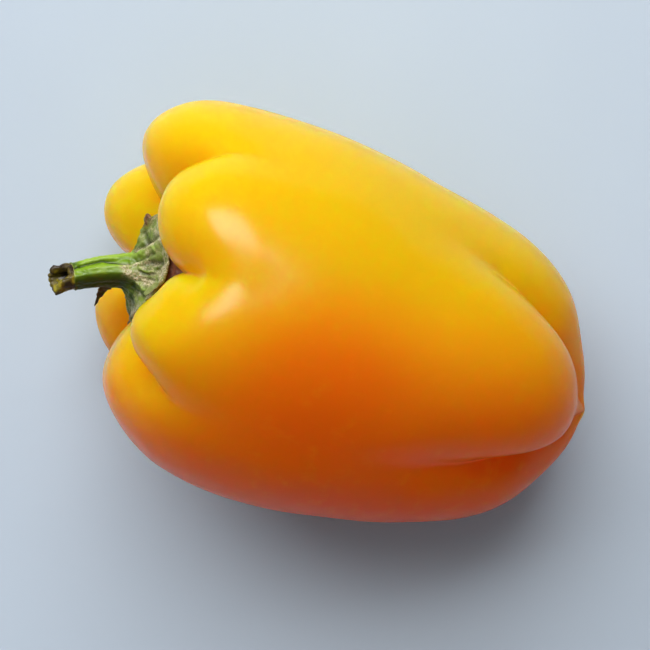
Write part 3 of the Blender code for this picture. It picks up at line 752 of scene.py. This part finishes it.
    # painted shade: the strokes along the creases and the whole underside of the stem are darkened
    under = np.exp(-((turn(ph - math.radians(160)) / math.radians(66)) ** 8)) * np.clip((1.5 - mark) / 0.4, 0, 1)
    dark = strokes(PAINTED_SHADE_AND_DARK_PATCH, right, up) * facing + 0.93 * under
    # painted highlight along the ridge tops
    pale = strokes(PAINTED_HIGHLIGHT_STROKES, right, up) * facing
    dry = np.clip(0.6 * np.clip((mark - 1.95) / 0.04, 0, 1) * np.clip(0.35 + 0.8 * waves(g, 4.5, 32), 0, 1)
                  + 1.4 * blob(ph, 18.5, 6.0) * np.clip((mark - 1.72) / 0.08, 0, 1) + inside, 0, 1)
    tip = np.clip((0.392 - mark) / 0.02, 0, 1)
    collar = np.exp(-((mark - 0.395) / 0.009) ** 2) * np.exp(-(turn(ph - math.radians(62)) / 0.55) ** 4)
    marks = {"flare": flare, "cork": cork, "dry": dry, "tip": tip, "hole_shade": hole_shade, "collar": 0.8 * collar,
             "dark": np.clip(dark, 0, 1), "pale": np.clip(pale, 0, 1)}
    return closed_grid("stem_calyx", g, stem_and_calyx(), marks, flip=False)


def build_membrane():
    """Dried brown skin of the calyx edge, stretched across the cleft above it
    and running in under the two lobes."""
    cols, rows = 90, 60
    upper = [(-2.0, 7.2, 8.6), (-1.0, 5.8, 10.8), (0.8, 4.3, 12.3), (2.5, 2.7, 13.2), (5.2, 1.0, 13.8)]
    lower = [(-1.2, -8.6, 3.6), (-0.4, -6.1, 6.6), (0.7, -3.6, 9.4), (2.3, -1.3, 11.8), (5.2, 0.6, 13.8)]
    t = np.linspace(0, 1, rows)
    th = np.arange(cols) * 2 * np.pi / cols
    a, b = natural(np.arange(5), upper, 4 * t), natural(np.arange(5), lower, 4 * t)
    u = (0.5 + 0.5 * np.cos(th))[None, :, None]
    g = a[:, None] * u + b[:, None] * (1 - u)
    out = np.array([-0.55, 0.0, 0.83])
    sag = -0.5 * np.sin(th) ** 2 * (1 - t)[:, None]
    g = g + (sag + 0.15 * np.sin(th)[None] + 0.22 * waves(g, 3.2, 41) + 0.08 * waves(g, 1.2, 42))[..., None] * out
    g[0], g[-1] = g[0].mean(0), g[-1].mean(0)
    mat = dried_leaf("membrane_brown", (0.105, 0.022, 0.008), (0.250, 0.075, 0.032), (0.150, 0.035, 0.014), 0.4)
    edge = np.abs(np.cos(th))[None] ** 3 + 0 * t[:, None]
    return closed_grid("calyx_membrane", g, mat, {"edge": edge, "along": t[:, None] + 0 * th}, flip=True)


def build_sepals():
    """Loose sepals: one dried and bent back under the stem, one pale against
    the near lobe, and one whose tip shows between two lobes."""
    dark = dried_leaf("sepal_dried", (0.022, 0.018, 0.008), (0.075, 0.042, 0.018), (0.300, 0.310, 0.210), 0.75)
    pale = dried_leaf("sepal_pale", (0.200, 0.260, 0.060), (0.360, 0.420, 0.130), (0.520, 0.340, 0.220), 0.8)
    # The lower sepal's dark green also stands as painted shade: its thin tip lies along the shaded cleft between two
    # lobes.
    green = dried_leaf("sepal_green", (0.020, 0.042, 0.010), (0.070, 0.115, 0.024), (0.200, 0.220, 0.100), 0.6)
    return [
        (blade("sepal_dried", [(-3.4, -4.6, -7.6), (-6.4, -5.2, -7.6), (-9.0, -6.0, -7.4), (-10.3, -7.7, -8.2),
                               (-10.6, -9.3, -9.6), (-10.75, -11.2, -11.0), (-10.8, -13.5, -12.0)],
               [1.3, 1.2, 1.4, 1.65, 1.2, 0.62, 0.06], [(0.45, -0.3, 0.8)] * 7, 0.18, 0.25, dark, 51, 0.14, 110),
         "calyx_green"),
        (blade("sepal_pale", [(-2.9, -6.9, 7.7), (-2.3, -5.7, 8.9), (-1.6, -4.4, 10.0), (-0.9, -3.2, 11.0)],
               [0.35, 0.62, 0.62, 0.08], [(-0.6, -0.25, 0.75)] * 4, 0.16, 0.15, pale, 52, 0.12), "calyx_green"),
        (blade("sepal_lower", [(-3.4, -11.6, -3.0), (-3.1, -12.3, -5), (-2.6, -13.7, -8), (-2.2, -15.2, -10.3), (-2.4, -16.6, -12)],
               [0.6, 0.42, 0.32, 0.40, 0.05], [(-0.8, -0.3, 0.5)] * 5, 0.14, 0.1, green, 53, 0.12), "calyx_green"),
    ]


def build_stage():
    bpy.ops.mesh.primitive_plane_add(size=4.0, location=(0, 0, 0))
    floor = bpy.context.object
    floor.name = "floor"
    floor.data.materials.append(floor_material())

    # window light from the picture's upper left, soft light round it, and a weak
    # warm answer from the room's other side
    for name, side, height, far, wide, tall, power, tint, shines in (
            ("window", 104, 66, 1.3, 0.9, 0.6, 46.0, (1.0, 0.990, 0.975), True),
            ("sky_round_window", 108, 42, 1.4, 1.9, 1.4, 37.0, (1.0, 0.995, 0.985), False),
            ("ceiling", 0, 88, 2.2, 3.0, 3.0, 8.0, (0.93, 0.97, 1.0), False),
            ("room", -72, 42, 2.0, 2.4, 2.0, 3.5, (1.0, 0.82, 0.62), False)):
        az, el = math.radians(18.7 + side), math.radians(height)
        spot = Vector((math.cos(az) * math.cos(el), math.sin(az) * math.cos(el), math.sin(el))) * far
        lamp = bpy.data.lights.new(name, "AREA")
        lamp.shape = "RECTANGLE"
        lamp.size, lamp.size_y = wide, tall
        lamp.energy = power
        lamp.color = tint
        light = bpy.data.objects.new(name, lamp)
        light.location = spot
        light.rotation_euler = (-spot).to_track_quat("-Z", "Y").to_euler()
        light.visible_glossy = shines
        light.visible_diffuse = not shines
        bpy.context.scene.collection.objects.link(light)

    world = bpy.context.scene.world or bpy.data.worlds.new("World")
    bpy.context.scene.world = world
    world.use_nodes = True
    world.node_tree.nodes["Background"].inputs["Color"].default_value = (0.86, 0.93, 1.0, 1.0)
    world.node_tree.nodes["Background"].inputs["Strength"].default_value = 0.08


def build_camera():
    """Straight above, turned as the photograph is."""
    turned = math.radians(18.7)
    across, up = (325 - 165) * 0.225, -(325 - 268) * 0.225
    x = across * math.cos(turned) - up * math.sin(turned) + SHIFT[0]
    y = across * math.sin(turned) + up * math.cos(turned) + SHIFT[1]
    data = bpy.data.cameras.new("camera")
    data.sensor_width = 36.0
    data.lens = 36.0 * 460 / (650 * 0.225)
    data.clip_start, data.clip_end = 0.01, 20
    cam = bpy.data.objects.new("camera", data)
    cam.location = (x * MM, y * MM, 0.5)
    cam.rotation_euler = (0, 0, turned)
    bpy.context.scene.collection.objects.link(cam)
    bpy.context.scene.camera = cam


fruit = build_fruit()
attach(fruit, "root")
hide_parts("fruit_body")

stem = build_stem()
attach(stem, "root")
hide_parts("calyx", "peduncle")

membrane = build_membrane()
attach(membrane, "root")

for sepal, finish_slot in build_sepals():
    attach(sepal, "root")

build_stage()
build_camera()
bpy.context.scene.view_settings.view_transform = "Standard"
bpy.context.view_layer.update()
